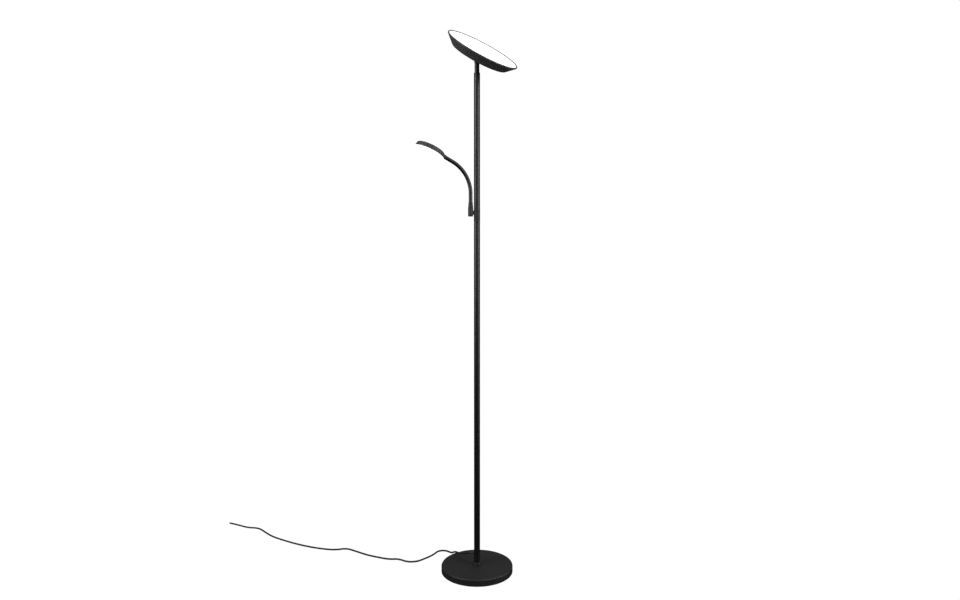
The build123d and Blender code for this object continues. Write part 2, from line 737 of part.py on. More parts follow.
def exit_point(distance):
    """A point on the axis of the cord's way out, by distance from the pole's axis."""
    angle = math.radians(EXIT_AZIMUTH)
    height = EXIT_Z - distance * math.tan(math.radians(EXIT_SLOPE))
    return (distance * math.cos(angle), distance * math.sin(angle), height)


# the cord droops from the pole over the base's edge, turns back on the floor and runs off to the left
CORD_ROUTE = [
    exit_point(RELIEF_END * math.cos(math.radians(EXIT_SLOPE))),
    exit_point(60.0),
    (-62.0, 65.0, 35.0),
    (-79.0, 90.0, 32.5),
    (-92.0, 115.5, 17.5),
    (-96.5, 136.0, 6.5),
    (-108.5, 151.5, CORD_Z),
    (-127.5, 157.0, CORD_Z),
    (-146.0, 149.5, CORD_Z),
    (-157.0, 130.5, CORD_Z),
    (-168.0, 106.5, CORD_Z),
    (-186.0, 84.0, CORD_Z),
    (-207.0, 62.0, CORD_Z),
    (-240.0, 58.0, CORD_Z),
    (-276.0, 90.0, CORD_Z),
    (-306.0, 80.0, CORD_Z),
    (-345.0, 96.0, CORD_Z),
    (-392.0, 118.0, CORD_Z),
    (-440.0, 152.0, CORD_Z),
    (-475.0, 174.0, CORD_Z),
    (-510.0, 160.0, CORD_Z),
    (-556.0, 168.0, CORD_Z),
    (-612.0, 187.0, CORD_Z),
    (-668.0, 214.0, CORD_Z),
    (-722.0, 246.0, CORD_Z),
    (-775.0, 281.0, CORD_Z),
    (-815.0, 322.0, CORD_Z),
    (-856.0, 368.0, CORD_Z),
    (-900.0, 371.0, CORD_Z),
    (-946.0, 398.0, CORD_Z),
    (-992.0, 421.0, CORD_Z),
    (-1020.0, 428.0, CORD_Z),
]


def route_radii():
    """Each corner's radius is as large as its two runs allow."""
    points = [Vector(*point) for point in CORD_ROUTE]
    radii = []
    for before, corner, after in zip(points, points[1:], points[2:]):
        turn = (corner - before).get_angle(after - corner)
        shorter = min((corner - before).length, (after - corner).length)
        radii.append(0.45 * shorter / math.tan(math.radians(turn / 2)))
    return radii


def cord_path():
    return FilletPolyline(*CORD_ROUTE, radius=route_radii())


def cord_tube():
    path = cord_path()
    profile = Plane(origin=path @ 0, z_dir=path % 0) * Circle(CORD_DIAMETER / 2)
    return sweep(profile, path=path)


def coil_centre():
    """The coil lies left of the cord's last run, which is tangent to its outer turns."""
    end = Vector(*CORD_ROUTE[-1])
    run = (end - Vector(*CORD_ROUTE[-2])).normalized()
    outside = TURN_RADIUS + CORD_DIAMETER / 2
    tangent_point = end + run * math.sqrt(outside**2 - TURN_RADIUS**2)
    centre = tangent_point + run.rotate(Axis.Z, 90) * TURN_RADIUS
    return centre.X, centre.Y


def at_coil(item):
    x, y = coil_centre()
    return Pos(x, y, 0) * item


def cord_coil():
    inner = COIL_RADIUS - CORD_DIAMETER
    outer = COIL_RADIUS + CORD_DIAMETER
    top = COIL_BOTTOM + COIL_HEIGHT
    corners = [(inner, COIL_BOTTOM), (outer, COIL_BOTTOM), (outer, top), (inner, top)]
    return at_coil(turned(corners, CORD_DIAMETER / 2 - 0.2))


def cord_tie():
    low = COIL_BOTTOM - TIE_THICKNESS
    high = COIL_BOTTOM + COIL_HEIGHT + TIE_THICKNESS
    inner = COIL_RADIUS - CORD_DIAMETER
    outer = COIL_RADIUS + CORD_DIAMETER
    middle = Pos(COIL_RADIUS, 0, (low + high) / 2)
    band = middle * Box(outer - inner + 2 * TIE_THICKNESS, TIE_WIDTH, high - low)
    hole = middle * Box(outer - inner, TIE_WIDTH + 2, COIL_HEIGHT)
    return at_coil(Rot(0, 0, TIE_ANGLE) * (band - hole))


PLUG_Z = PLUG_THICKNESS / 2 + 0.1


def at_plug(item):
    """The plug's own +X points from the cord to the pins; it lies at the coil's left side."""
    outside = TURN_RADIUS + CORD_DIAMETER / 2
    start = math.sqrt(outside**2 - TURN_RADIUS**2)
    return at_coil(Pos(-TURN_RADIUS, -start, PLUG_Z) * Rot(0, 0, -90) * item)


def plug_body():
    sleeve = Pos(PLUG_SLEEVE / 2, 0, 0) * Rot(0, 90, 0) * Cone(CORD_DIAMETER / 2 + 0.7, 5.4, PLUG_SLEEVE)
    outline = Polyline(
        (PLUG_SLEEVE - 1.0, -5.5),
        (PLUG_SLEEVE + 8.0, -PLUG_WIDTH / 2 + 6.0),
        (PLUG_SLEEVE + PLUG_LENGTH - 8.0, -PLUG_WIDTH / 2),
        (PLUG_SLEEVE + PLUG_LENGTH, -PLUG_WIDTH / 2 + 3.0),
        (PLUG_SLEEVE + PLUG_LENGTH, PLUG_WIDTH / 2 - 3.0),
        (PLUG_SLEEVE + PLUG_LENGTH - 8.0, PLUG_WIDTH / 2),
        (PLUG_SLEEVE + 8.0, PLUG_WIDTH / 2 - 6.0),
        (PLUG_SLEEVE - 1.0, 5.5),
        close=True,
    )
    body = Pos(0, 0, -PLUG_THICKNESS / 2) * extrude(make_face(outline), PLUG_THICKNESS)
    body = fillet(body.edges().filter_by(Axis.Z), 1.5)
    body = chamfer(body.edges().group_by(Axis.Z)[-1] + body.edges().group_by(Axis.Z)[0], 1.2)
    return at_plug(body + sleeve)


def plug_pins():
    face = PLUG_SLEEVE + PLUG_LENGTH
    pins = []
    for side in (-1, 1):
        pin = along_x(PIN_RADIUS, face, face + PIN_LENGTH)
        pin = fillet(pin.edges().group_by(Axis.X)[-1], 1.2)
        pins.append(at_plug(Pos(0, side * PIN_SPACING / 2, 0) * pin))
    return group(pins)


def cord_relief():
    """The tapered boot where the cord leaves the pole."""
    length = RELIEF_END - RELIEF_START
    boot = Rot(0, 90, 0) * Cone(RELIEF_FOOT_RADIUS, RELIEF_TIP_RADIUS, length)
    boot = EXIT_FRAME * Pos(RELIEF_START + length / 2, 0, 0) * boot
    boot -= disc(POLE_RADIUS, EXIT_Z - RELIEF_END, EXIT_Z + RELIEF_END)
    neck = EXIT_FRAME * along_x(RELIEF_NECK, CABLE_START, RELIEF_START + length / 4)
    return boot + neck


# ---------------------------------------------------------------- all nodes

NODES = {
    "base_cover": base_cover,
    "base_weight": base_weight,
    "base_plate": base_plate,
    "base_felt": base_felt,
    "base_screws": base_screws,
    "foot_collar": foot_collar,
    "base_nipple": base_nipple,
    "base_washer": base_washer,
    "base_nut": base_nut,
    "pole_insert": pole_insert,
    "pole_tube_low": lambda: pole_tube(0),
    "pole_tube_mid": lambda: pole_tube(1),
    "pole_tube_high": lambda: pole_tube(2),
    "pole_couplers": pole_couplers,
    "block_inserts": block_inserts,
    "block_nipple": block_nipple,
    "pole_tube_top": pole_tube_top,
    "neck_bushing": neck_bushing,
    "pole_cable": pole_cable,
    "cord_relief": cord_relief,
    "cord_tube": cord_tube,
    "cord_coil": cord_coil,
    "cord_tie": cord_tie,
    "plug_body": plug_body,
    "plug_pins": plug_pins,
    "neck_fork": neck_fork,
    "neck_clip": neck_clip,
    "tilt_bolt": tilt_bolt,
    "tilt_nut": tilt_nut,
    "tilt_tongue": tilt_tongue,
    "tongue_screws": tongue_screws,
    "dish_shell": dish_shell,
    "dish_bezel": dish_bezel,
    "dish_diffuser": dish_diffuser,
    "dish_driver": dish_driver,
    "led_plate": led_plate,
    "led_chips": led_chips,
    "plate_posts": plate_posts,
    "plate_screws": plate_screws,
    "arm_block": arm_block,
    "arm_stud": arm_stud,
    "stud_washer": stud_washer,
    "stud_nut": stud_nut,
    "button_switches": button_switches,
    "button_uplight": lambda: push_button("button_uplight"),
    "button_reading": lambda: push_button("button_reading"),
    "ferrule": ferrule,
    "ferrule_cap": ferrule_cap,
    "ferrule_cone": ferrule_cone,
    "gooseneck_1": lambda: gooseneck(1),
    "gooseneck_2": lambda: gooseneck(2),
    "gooseneck_3": lambda: gooseneck(3),
    "gooseneck_4": lambda: gooseneck(4),
    "gooseneck_5": lambda: gooseneck(5),
    "neck_socket": neck_socket,
    "read_housing": read_housing,
    "read_diffuser": read_diffuser,
    "read_board": read_board,
    "read_leds": read_leds,
    "read_screws": read_screws,
}


def report_cord():
    path = cord_path()
    radii = route_radii()
    print("cord radii:", [round(radius, 1) for radius in radii])
    print("tightest:", round(min(radii), 1), "largest:", round(max(radii), 1))
    print("tube length:", round(path.length, 1))
    section = math.pi * (CORD_DIAMETER / 2) ** 2
    print("tube volume / (section x length):", round(cord_tube().volume / (section * path.length), 4))
    print("coil centre:", [round(value, 1) for value in coil_centre()])


def report_bends():
    for index in range(1, BEND_JOINTS + 1):
        x, z, angle = neck_point(bend_distance(index))
        place = (ARM_FRAME * Pos(x, 0, z)).position
        print("bend", index, "at", [round(value, 2) for value in place], "angle", round(angle, 2))


def main():
    os.makedirs("parts", exist_ok=True)
    for name, make in NODES.items():
        export_step(make(), f"parts/{name}.step")
    report_cord()
    report_bends()


main()
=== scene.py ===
import math

import bpy
from mathutils import Matrix, Vector


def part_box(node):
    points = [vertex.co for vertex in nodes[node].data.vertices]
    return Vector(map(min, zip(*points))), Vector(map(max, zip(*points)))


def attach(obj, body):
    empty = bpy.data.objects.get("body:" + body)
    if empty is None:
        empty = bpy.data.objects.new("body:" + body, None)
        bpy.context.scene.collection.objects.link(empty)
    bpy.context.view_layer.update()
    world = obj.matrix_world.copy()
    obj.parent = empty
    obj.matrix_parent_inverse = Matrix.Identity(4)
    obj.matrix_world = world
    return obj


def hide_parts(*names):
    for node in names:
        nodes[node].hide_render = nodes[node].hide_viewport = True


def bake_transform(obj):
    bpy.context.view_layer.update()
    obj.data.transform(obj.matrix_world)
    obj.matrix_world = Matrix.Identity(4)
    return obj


# Floor lamp with a tilting uplight dish and a gooseneck reading arm. Metres, +Z up, the row's own frame.

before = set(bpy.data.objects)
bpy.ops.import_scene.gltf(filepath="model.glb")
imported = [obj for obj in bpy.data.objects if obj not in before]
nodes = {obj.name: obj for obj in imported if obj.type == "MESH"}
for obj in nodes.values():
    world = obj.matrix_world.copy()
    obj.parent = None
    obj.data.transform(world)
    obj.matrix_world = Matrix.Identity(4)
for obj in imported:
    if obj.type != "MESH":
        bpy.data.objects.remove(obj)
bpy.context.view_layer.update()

# ---------------------------------------------------------------- sizes and places from the frame

PLUG_LOW, PLUG_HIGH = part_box("plug_body")
COIL_LOW, COIL_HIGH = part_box("cord_coil")
CONE_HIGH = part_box("ferrule_cone")[1]

ARM_AZIMUTH = math.radians(197.3)

# gooseneck, as distances along its centre line from the bottom of its socket
NECK_FOOT = 1.2165
BEND_START_Z = 1.2601
NECK_STRAIGHT = BEND_START_Z - NECK_FOOT
NECK_RADIUS = 0.0064
NECK_REACH = 0.0219
BEND_RADIUS = 0.1133
BEND_ANGLE = math.radians(62.0)
BEND_TAIL = 0.038
NECK_ARC = BEND_RADIUS * BEND_ANGLE
NECK_LENGTH = NECK_STRAIGHT + NECK_ARC + BEND_TAIL
CONE_GAP = 0.003
FLEX_START = CONE_HIGH.z - NECK_FOOT + CONE_GAP
BEND_BODIES = ["arm", "flex_2", "flex_3", "flex_4", "reading_lamp"]
BEND_STEP = (NECK_LENGTH - FLEX_START) / (len(BEND_BODIES) - 1)
BEND_PLACES = [FLEX_START + (index + 0.5) * BEND_STEP for index in range(len(BEND_BODIES) - 1)]

# mains cord
CORD_DIAMETER = 0.006
CORD_Z = 0.00305
EXIT_AZIMUTH = math.radians(135.0)
EXIT_SLOPE = math.radians(22.0)
EXIT_Z = 0.064
RELIEF_START = 0.0095
RELIEF_END = 0.038


# ---------------------------------------------------------------- camera

CAMERA_PLACE = (0.00994, -2.19009, 0.98946)
CAMERA_PITCH = math.radians(2.076)
SENSOR_WIDTH = 36.0
LENS = 24.809


def make_camera():
    data = bpy.data.cameras.new("camera")
    data.sensor_width = SENSOR_WIDTH
    data.lens = LENS
    camera = bpy.data.objects.new("camera", data)
    camera.location = CAMERA_PLACE
    camera.rotation_euler = (math.pi / 2 - CAMERA_PITCH, 0, 0)
    bpy.context.scene.collection.objects.link(camera)
    bpy.context.scene.camera = camera
    return camera


# ---------------------------------------------------------------- material helpers

class Finish:
    """One material, built node by node around a Principled shader."""

    def __init__(self, name, **sockets):
        self.material = bpy.data.materials.new(name)
        self.material.use_nodes = True
        self.tree = self.material.node_tree
        self.shader = self.tree.nodes["Principled BSDF"]
        for socket, value in sockets.items():
            self.shader.inputs[socket.replace("_", " ")].default_value = value
        self.place = self.tree.nodes.new("ShaderNodeTexCoord").outputs["Object"]

    def node(self, kind, settings=None, **inputs):
        made = self.tree.nodes.new("ShaderNode" + kind)
        for key, value in (settings or {}).items():
            setattr(made, key, value)
        for key, value in inputs.items():
            socket = made.inputs[key.replace("_", " ")]
            if isinstance(value, bpy.types.NodeSocket):
                self.tree.links.new(value, socket)
            else:
                socket.default_value = value
        return made

    def stretched(self, x, y, z):
        return self.node("Mapping", Vector=self.place, Scale=(x, y, z)).outputs["Vector"]

    def noise(self, scale, detail=3.0, roughness=0.55, place=None):
        place = place or self.place
        made = self.node("TexNoise", Vector=place, Scale=scale, Detail=detail, Roughness=roughness)
        return made.outputs["Fac"]

    def cells(self, scale, place=None):
        return self.node("TexVoronoi", Vector=place or self.place, Scale=scale).outputs["Distance"]

    def colours(self, factor, *stops):
        made = self.node("ValToRGB", Fac=factor)
        ramp = made.color_ramp
        while len(ramp.elements) < len(stops):
            ramp.elements.new(0.5)
        for element, (place, colour) in zip(ramp.elements, stops):
            element.position = place
            element.color = (*colour, 1.0)
        return made.outputs["Color"]

    def spread(self, factor, low, high, start=0.0, end=1.0):
        made = self.node("MapRange", Value=factor, From_Min=start, From_Max=end, To_Min=low, To_Max=high)
        return made.outputs["Result"]

    def maths(self, operation, a, b):
        made = self.node("Math", {"operation": operation})
        for socket, value in zip(made.inputs, (a, b)):
            if isinstance(value, bpy.types.NodeSocket):
                self.tree.links.new(value, socket)
            else:
                socket.default_value = value
        return made.outputs["Value"]

    def part(self, axis):
        split = self.node("SeparateXYZ", Vector=self.place)
        return split.outputs[axis]

    def set(self, socket, value):
        self.tree.links.new(value, self.shader.inputs[socket])
        return self

    def bump(self, height, depth, strength=1.0):
        made = self.node("Bump", Height=height, Distance=depth, Strength=strength)
        self.tree.links.new(made.outputs["Normal"], self.shader.inputs["Normal"])
        return self


def grey(value, warm=0.0):
    return (value * (1 + warm), value, value * (1 - warm))


# ---------------------------------------------------------------- materials

def powder_coat(name, tone, rough, grain_depth, gloss=0.42, grain=1400.0):
    """Satin black powder coat: fine orange peel, faint cloudiness and a few duller patches."""
    finish = Finish(name, Specular_IOR_Level=gloss)
    peel = finish.noise(grain, 2.0, 0.5)
    cloud = finish.noise(9.0, 4.0, 0.6)
    speck = finish.noise(420.0, 5.0, 0.75)
    mixed = finish.maths("ADD", finish.maths("MULTIPLY", cloud, 0.7), finish.maths("MULTIPLY", speck, 0.3))
    finish.set("Base Color", finish.colours(mixed, (0.3, grey(tone * 0.86)), (0.7, grey(tone * 1.14, -0.02))))
    finish.set("Roughness", finish.spread(mixed, rough - 0.05, rough + 0.07, 0.3, 0.7))
    finish.bump(peel, grain_depth, 0.5)
    return finish.material


def pole_coat():
    """Smoother black lacquer on drawn tube, with very faint lines along the pole."""
    finish = Finish("pole_coat", Specular_IOR_Level=0.5)
    lines = finish.noise(60.0, 4.0, 0.6, finish.stretched(12.0, 12.0, 0.15))
    peel = finish.noise(900.0, 2.0, 0.5)
    finish.set("Base Color", finish.colours(lines, (0.3, grey(0.0030)), (0.7, grey(0.0046, -0.03))))
    finish.set("Roughness", finish.spread(lines, 0.32, 0.40, 0.3, 0.7))
    finish.bump(peel, 0.00002, 0.5)
    return finish.material


def opal(name, glow):
    """Satin opal diffuser, lit softly and evenly from behind."""
    finish = Finish(name, Roughness=0.42, Subsurface_Weight=0.15, Emission_Strength=glow)
    finish.shader.inputs["Subsurface Radius"].default_value = (0.004, 0.004, 0.004)
    milk = finish.noise(35.0, 3.0, 0.6)
    finish.set("Base Color", finish.colours(milk, (0.35, (0.91, 0.91, 0.90)), (0.65, (0.95, 0.95, 0.945))))
    finish.set("Emission Color", finish.colours(milk, (0.35, (0.99, 0.99, 0.98)), (0.65, (1.0, 1.0, 1.0))))
    finish.bump(finish.noise(1800.0, 2.0), 0.00001, 0.4)
    return finish.material


def steel(name, tone, rough, scale=900.0):
    """Zinc-plated steel with a faint crystalline bloom."""
    finish = Finish(name, Metallic=1.0)
    bloom = finish.cells(scale)
    cloud = finish.noise(60.0, 4.0, 0.6)
    finish.set("Base Color", finish.colours(cloud, (0.3, grey(tone * 0.86, 0.01)), (0.7, grey(tone, -0.02))))
    finish.set("Roughness", finish.spread(bloom, rough - 0.06, rough + 0.1, 0.0, 0.8))
    finish.bump(bloom, 0.00002, 0.3)
    return finish.material


def cast_iron():
    finish = Finish("cast_iron", Metallic=0.75)
    sand = finish.noise(700.0, 6.0, 0.7)
    finish.set("Base Color", finish.colours(sand, (0.3, (0.09, 0.085, 0.08)), (0.7, (0.2, 0.195, 0.19))))
    finish.set("Roughness", finish.spread(sand, 0.6, 0.85, 0.3, 0.7))
    finish.bump(sand, 0.0003, 0.6)
    return finish.material


def felt():
    """Dense black felt: short crossed fibres with lint."""
    finish = Finish("felt", Sheen_Weight=0.5, Sheen_Roughness=0.5, Specular_IOR_Level=0.1)
    across = finish.noise(900.0, 5.0, 0.8, finish.stretched(1.0, 4.0, 2.0))
    along = finish.noise(900.0, 5.0, 0.8, finish.stretched(4.0, 1.0, 2.0))
    fibres = finish.maths("MAXIMUM", across, along)
    finish.set("Base Color", finish.colours(fibres, (0.45, grey(0.012)), (0.75, grey(0.05))))
    finish.set("Roughness", finish.spread(fibres, 0.85, 1.0))
    finish.bump(fibres, 0.0006, 0.8)
    return finish.material


def plastic(name, dark, light, rough, grain=900.0, depth=0.00004, warm=0.0):
    """Moulded plastic with an even spark-eroded grain."""
    finish = Finish(name, Specular_IOR_Level=0.45)
    texture = finish.noise(grain, 3.0, 0.6)
    finish.set("Base Color", finish.colours(texture, (0.3, grey(dark, warm)), (0.7, grey(light, warm))))
    finish.set("Roughness", finish.spread(texture, rough - 0.05, rough + 0.08, 0.3, 0.7))
    finish.bump(texture, depth, 0.6)
    return finish.material


def cable_sheath():
    """Black PVC sheath, slightly waxy, with scuffs along it and a little dust."""
    finish = Finish("cable_sheath", Specular_IOR_Level=0.4, Sheen_Weight=0.06)
    scuff = finish.noise(240.0, 5.0, 0.7)
    cloud = finish.noise(30.0, 3.0, 0.5)
    mixed = finish.maths("MULTIPLY", scuff, cloud)
    finish.set("Base Color", finish.colours(mixed, (0.15, grey(0.005)), (0.4, grey(0.012))))
    finish.set("Roughness", finish.spread(scuff, 0.42, 0.58, 0.3, 0.7))
    finish.bump(finish.noise(1500.0, 2.0), 0.00002, 0.4)
    return finish.material


def gooseneck_coat():
    """Smooth black coat over the wound tube of the gooseneck."""
    finish = Finish("gooseneck_coat", Specular_IOR_Level=0.5, Coat_Weight=0.1, Coat_Roughness=0.3)
    cloud = finish.noise(120.0, 4.0, 0.6)
    finish.set("Base Color", finish.colours(cloud, (0.3, grey(0.004)), (0.7, grey(0.008))))
    finish.set("Roughness", finish.spread(cloud, 0.22, 0.30, 0.3, 0.7))
    finish.bump(finish.noise(1600.0, 2.0), 0.00002, 0.4)
    return finish.material


def led_board():
    """White solder mask over an aluminium core, with pale copper tracks showing through."""
    finish = Finish("led_board", Specular_IOR_Level=0.5)
    tracks = finish.noise(70.0, 1.0, 0.3)
    fine = finish.noise(1100.0, 3.0)
    finish.set("Base Color", finish.colours(tracks, (0.47, (0.84, 0.85, 0.84)), (0.5, (0.76, 0.77, 0.75))))
    finish.set("Roughness", finish.spread(fine, 0.35, 0.5))
    finish.bump(tracks, 0.00005, 0.5)
    return finish.material


def led_phosphor():
    finish = Finish("led_phosphor", Specular_IOR_Level=0.5, Coat_Weight=0.4)
    dots = finish.noise(2600.0, 2.0)
    finish.set("Base Color", finish.colours(dots, (0.3, (0.86, 0.68, 0.16)), (0.7, (0.95, 0.82, 0.32))))
    finish.set("Roughness", finish.spread(dots, 0.25, 0.4))
    finish.bump(dots, 0.00003, 0.5)
    return finish.material


PIN_SLEEVE = 0.010


def plug_metal():
    """Plug pins: nickel-plated brass tips, with black insulating sleeves next to the plug."""
    finish = Finish("plug_metal")
    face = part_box("plug_pins")[1].y
    along = finish.part("Y")
    tip = finish.node("Math", {"operation": "LESS_THAN"})
    finish.tree.links.new(along, tip.inputs[0])
    tip.inputs[1].default_value = face - PIN_SLEEVE
    bare = tip.outputs["Value"]
    wear = finish.noise(900.0, 4.0, 0.7)
    metal = finish.colours(wear, (0.3, (0.62, 0.60, 0.55)), (0.7, (0.78, 0.77, 0.74)))
    sleeve = finish.colours(wear, (0.3, grey(0.02)), (0.7, grey(0.035)))
    mix = finish.node("Mix", {"data_type": "RGBA"})
    finish.tree.links.new(bare, mix.inputs["Factor"])
    finish.tree.links.new(sleeve, mix.inputs[6])
    finish.tree.links.new(metal, mix.inputs[7])
    finish.set("Base Color", mix.outputs[2])
    finish.set("Metallic", bare)
    finish.set("Roughness", finish.spread(wear, 0.25, 0.4))
    return finish.material


MATERIALS = {
    "black_coat": powder_coat("black_coat", 0.018, 0.50, 0.00002),
    "dish_coat": powder_coat("dish_coat", 0.060, 0.60, 0.000006, grain=900.0),
    "pole_coat": pole_coat(),
    "gooseneck_coat": gooseneck_coat(),
    "opal_dish": opal("opal_dish", 0.93),
    "opal_reading": opal("opal_reading", 0.91),
    "cast_iron": cast_iron(),
    "zinc_steel": steel("zinc_steel", 0.62, 0.32),
    "black_steel": steel("black_steel", 0.05, 0.4),
    "felt": felt(),
    "nylon": plastic("nylon", 0.68, 0.76, 0.5, warm=0.02),
    "cable_sheath": cable_sheath(),
    "tie_plastic": plastic("tie_plastic", 0.018, 0.03, 0.5),
    "plug_plastic": plastic("plug_plastic", 0.016, 0.028, 0.5, 1300.0, 0.00006),
    "relief_plastic": plastic("relief_plastic", 0.034, 0.050, 0.5, 1300.0, 0.00006),
    "plug_metal": plug_metal(),
    "led_board": led_board(),
    "led_phosphor": led_phosphor(),
    "driver_case": plastic("driver_case", 0.78, 0.86, 0.45, warm=0.01),
    "button_cap": plastic("button_cap", 0.03, 0.045, 0.38),
}

FINISH_OF = {
    "black_coat": "base_cover foot_collar arm_block ferrule ferrule_cap ferrule_cone",
    "pole_coat": "pole_tube_low pole_tube_mid pole_tube_high pole_tube_top neck_fork",
    "dish_coat": "dish_shell dish_bezel read_housing neck_socket tilt_tongue",
    "opal_dish": "dish_diffuser",
    "opal_reading": "read_diffuser",
    "cast_iron": "base_weight",
    "zinc_steel": "base_plate base_screws base_nipple base_washer base_nut pole_insert pole_couplers"
    " block_inserts block_nipple neck_clip plate_posts plate_screws arm_stud stud_washer stud_nut"
    " read_screws",
    "black_steel": "tilt_bolt tilt_nut tongue_screws",
    "felt": "base_felt",
    "nylon": "neck_bushing",
    "cable_sheath": "pole_cable",
    "plug_metal": "plug_pins",
    "led_board": "led_plate read_board",
    "led_phosphor": "led_chips read_leds",
    "driver_case": "dish_driver",
    "button_cap": "button_uplight button_reading button_switches",
}


def dress(item, name):
    item.data.materials.clear()
    item.data.materials.append(MATERIALS[name])


def dress_frame():
    for finish, names in FINISH_OF.items():
        for name in names.split():
            dress(nodes[name], finish)


# ---------------------------------------------------------------- mesh helpers

def new_mesh(name, points, faces, finish):
    mesh = bpy.data.meshes.new(name)
    mesh.from_pydata([tuple(point) for point in points], [], faces)
    mesh.polygons.foreach_set("use_smooth", [True] * len(mesh.polygons))
    mesh.update()
    item = bpy.data.objects.new(name, mesh)
    bpy.context.scene.collection.objects.link(item)
    dress(item, finish)
    return item


def loft(name, rings, finish, cap_start=True, cap_end=True):
    """A skin over rings that all have the same number of points."""
    count = len(rings[0])
    points = [point for ring in rings for point in ring]
    faces = []
    for row in range(len(rings) - 1):
        for step in range(count):
            after = (step + 1) % count
            a = row * count
            b = a + count
            faces.append((a + step, a + after, b + after, b + step))
    if cap_start:
        faces.append(tuple(reversed(range(count))))
    if cap_end:
        faces.append(tuple(range(len(points) - count, len(points))))
    return new_mesh(name, points, faces, finish)


def circle(place, across, up, radius, count):
    """Points of a circle in the plane of two unit vectors."""
    angles = [2 * math.pi * step / count for step in range(count)]
    return [place + radius * (math.cos(angle) * across + math.sin(angle) * up) for angle in angles]


# ---------------------------------------------------------------- gooseneck

RIB_PITCH = 0.0026
RIB_DEPTH = 0.00016
RINGS_PER_RIB = 6
NECK_SIDES = 40
SKIN_START = 0.001


def neck_point(distance):
    """Place and direction of the gooseneck's centre line, in the row frame."""
    outward = Vector((math.cos(ARM_AZIMUTH), math.sin(ARM_AZIMUTH), 0))
    upward = Vector((0, 0, 1))
    angle = min(max(distance - NECK_STRAIGHT, 0) / BEND_RADIUS, BEND_ANGLE)
    straight = min(distance, NECK_STRAIGHT)
    tail = max(distance - NECK_STRAIGHT - NECK_ARC, 0)
    reach = NECK_REACH + BEND_RADIUS * (1 - math.cos(angle)) + tail * math.sin(angle)
    height = NECK_FOOT + straight + BEND_RADIUS * math.sin(angle) + tail * math.cos(angle)
    along = outward * math.sin(angle) + upward * math.cos(angle)
    return outward * reach + upward * height, along


def neck_skin(index):
    """The stretch of gooseneck around one bending joint."""
    joint = BEND_PLACES[index]
    start = SKIN_START if index == 0 else joint - BEND_STEP / 2
    end = joint + BEND_STEP / 2
    count = round((end - start) / RIB_PITCH * RINGS_PER_RIB)
    side = Vector((-math.sin(ARM_AZIMUTH), math.cos(ARM_AZIMUTH), 0))
    rings = []
    for step in range(count + 1):
        distance = start + (end - start) * step / count
        place, along = neck_point(distance)
        groove = 0.5 - 0.5 * math.cos(2 * math.pi * distance / RIB_PITCH)
        radius = NECK_RADIUS - RIB_DEPTH * groove**3
        rings.append(circle(place, side, side.cross(along), radius, NECK_SIDES))
    skin = loft(f"gooseneck_skin_{index + 1}", rings, "gooseneck_coat", False, False)
    place, along = neck_point(joint)
    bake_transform(skin)
    return skin


def make_gooseneck():
    skins = [neck_skin(index) for index in range(len(BEND_PLACES))]
    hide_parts("gooseneck_1")
    for index, skin in enumerate(skins):
        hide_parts(f"gooseneck_{index + 2}")


# ---------------------------------------------------------------- mains cord

def exit_point(distance):
    """A point on the axis of the cord's way out, by distance from the pole's axis."""
    height = EXIT_Z - distance * math.tan(EXIT_SLOPE)
    return (distance * math.cos(EXIT_AZIMUTH), distance * math.sin(EXIT_AZIMUTH), height)


CORD_ROUTE = [
    exit_point(RELIEF_END * math.cos(EXIT_SLOPE)),
    exit_point(0.060),
    (-0.062, 0.063, 0.0325),
    (-0.077, 0.086, 0.0285),
    (-0.088, 0.108, 0.0150),
    (-0.096, 0.126, 0.0088),
    (-0.0985, 0.1375, 0.0048),
    (-0.107, 0.1492, 0.0033),
    (-0.1195, 0.155, CORD_Z),
    (-0.1335, 0.153, CORD_Z),
    (-0.1438, 0.1438, CORD_Z),
    (-0.1495, 0.1305, CORD_Z),
    (-0.165, 0.1055, CORD_Z),
    (-0.186, 0.0835, CORD_Z),
    (-0.207, 0.0635, CORD_Z),
    (-0.240, 0.059, CORD_Z),
    (-0.275, 0.085, CORD_Z),
    (-0.306, 0.081, CORD_Z),
    (-0.345, 0.096, CORD_Z),
    (-0.392, 0.118, CORD_Z),
    (-0.440, 0.152, CORD_Z),
    (-0.475, 0.174, CORD_Z),
    (-0.510, 0.160, CORD_Z),
    (-0.556, 0.168, CORD_Z),
    (-0.612, 0.187, CORD_Z),
    (-0.668, 0.214, CORD_Z),
    (-0.722, 0.246, CORD_Z),
    (-0.775, 0.281, CORD_Z),
    (-0.815, 0.322, CORD_Z),
    (-0.856, 0.368, CORD_Z),
    (-0.900, 0.371, CORD_Z),
    (-0.946, 0.398, CORD_Z),
    (-0.992, 0.421, CORD_Z),
    (-1.020, 0.428, CORD_Z),
]

# the put-away coil: outer and inner turns on the floor, then inner and outer turns on top of them
COIL_START = math.radians(76.0)
COIL_SWEEP = math.radians(3 * 360 + 104)
COIL_POINTS_PER_TURN = 20
OUTER_TURN = 0.033
INNER_TURN = 0.027
LOWER_LAYER = 0.0040
UPPER_LAYER = 0.0100
LANES = [
    (OUTER_TURN, LOWER_LAYER),
    (INNER_TURN, LOWER_LAYER),
    (INNER_TURN, UPPER_LAYER),
    (OUTER_TURN, UPPER_LAYER),
]
LANE_CHANGE = 0.16


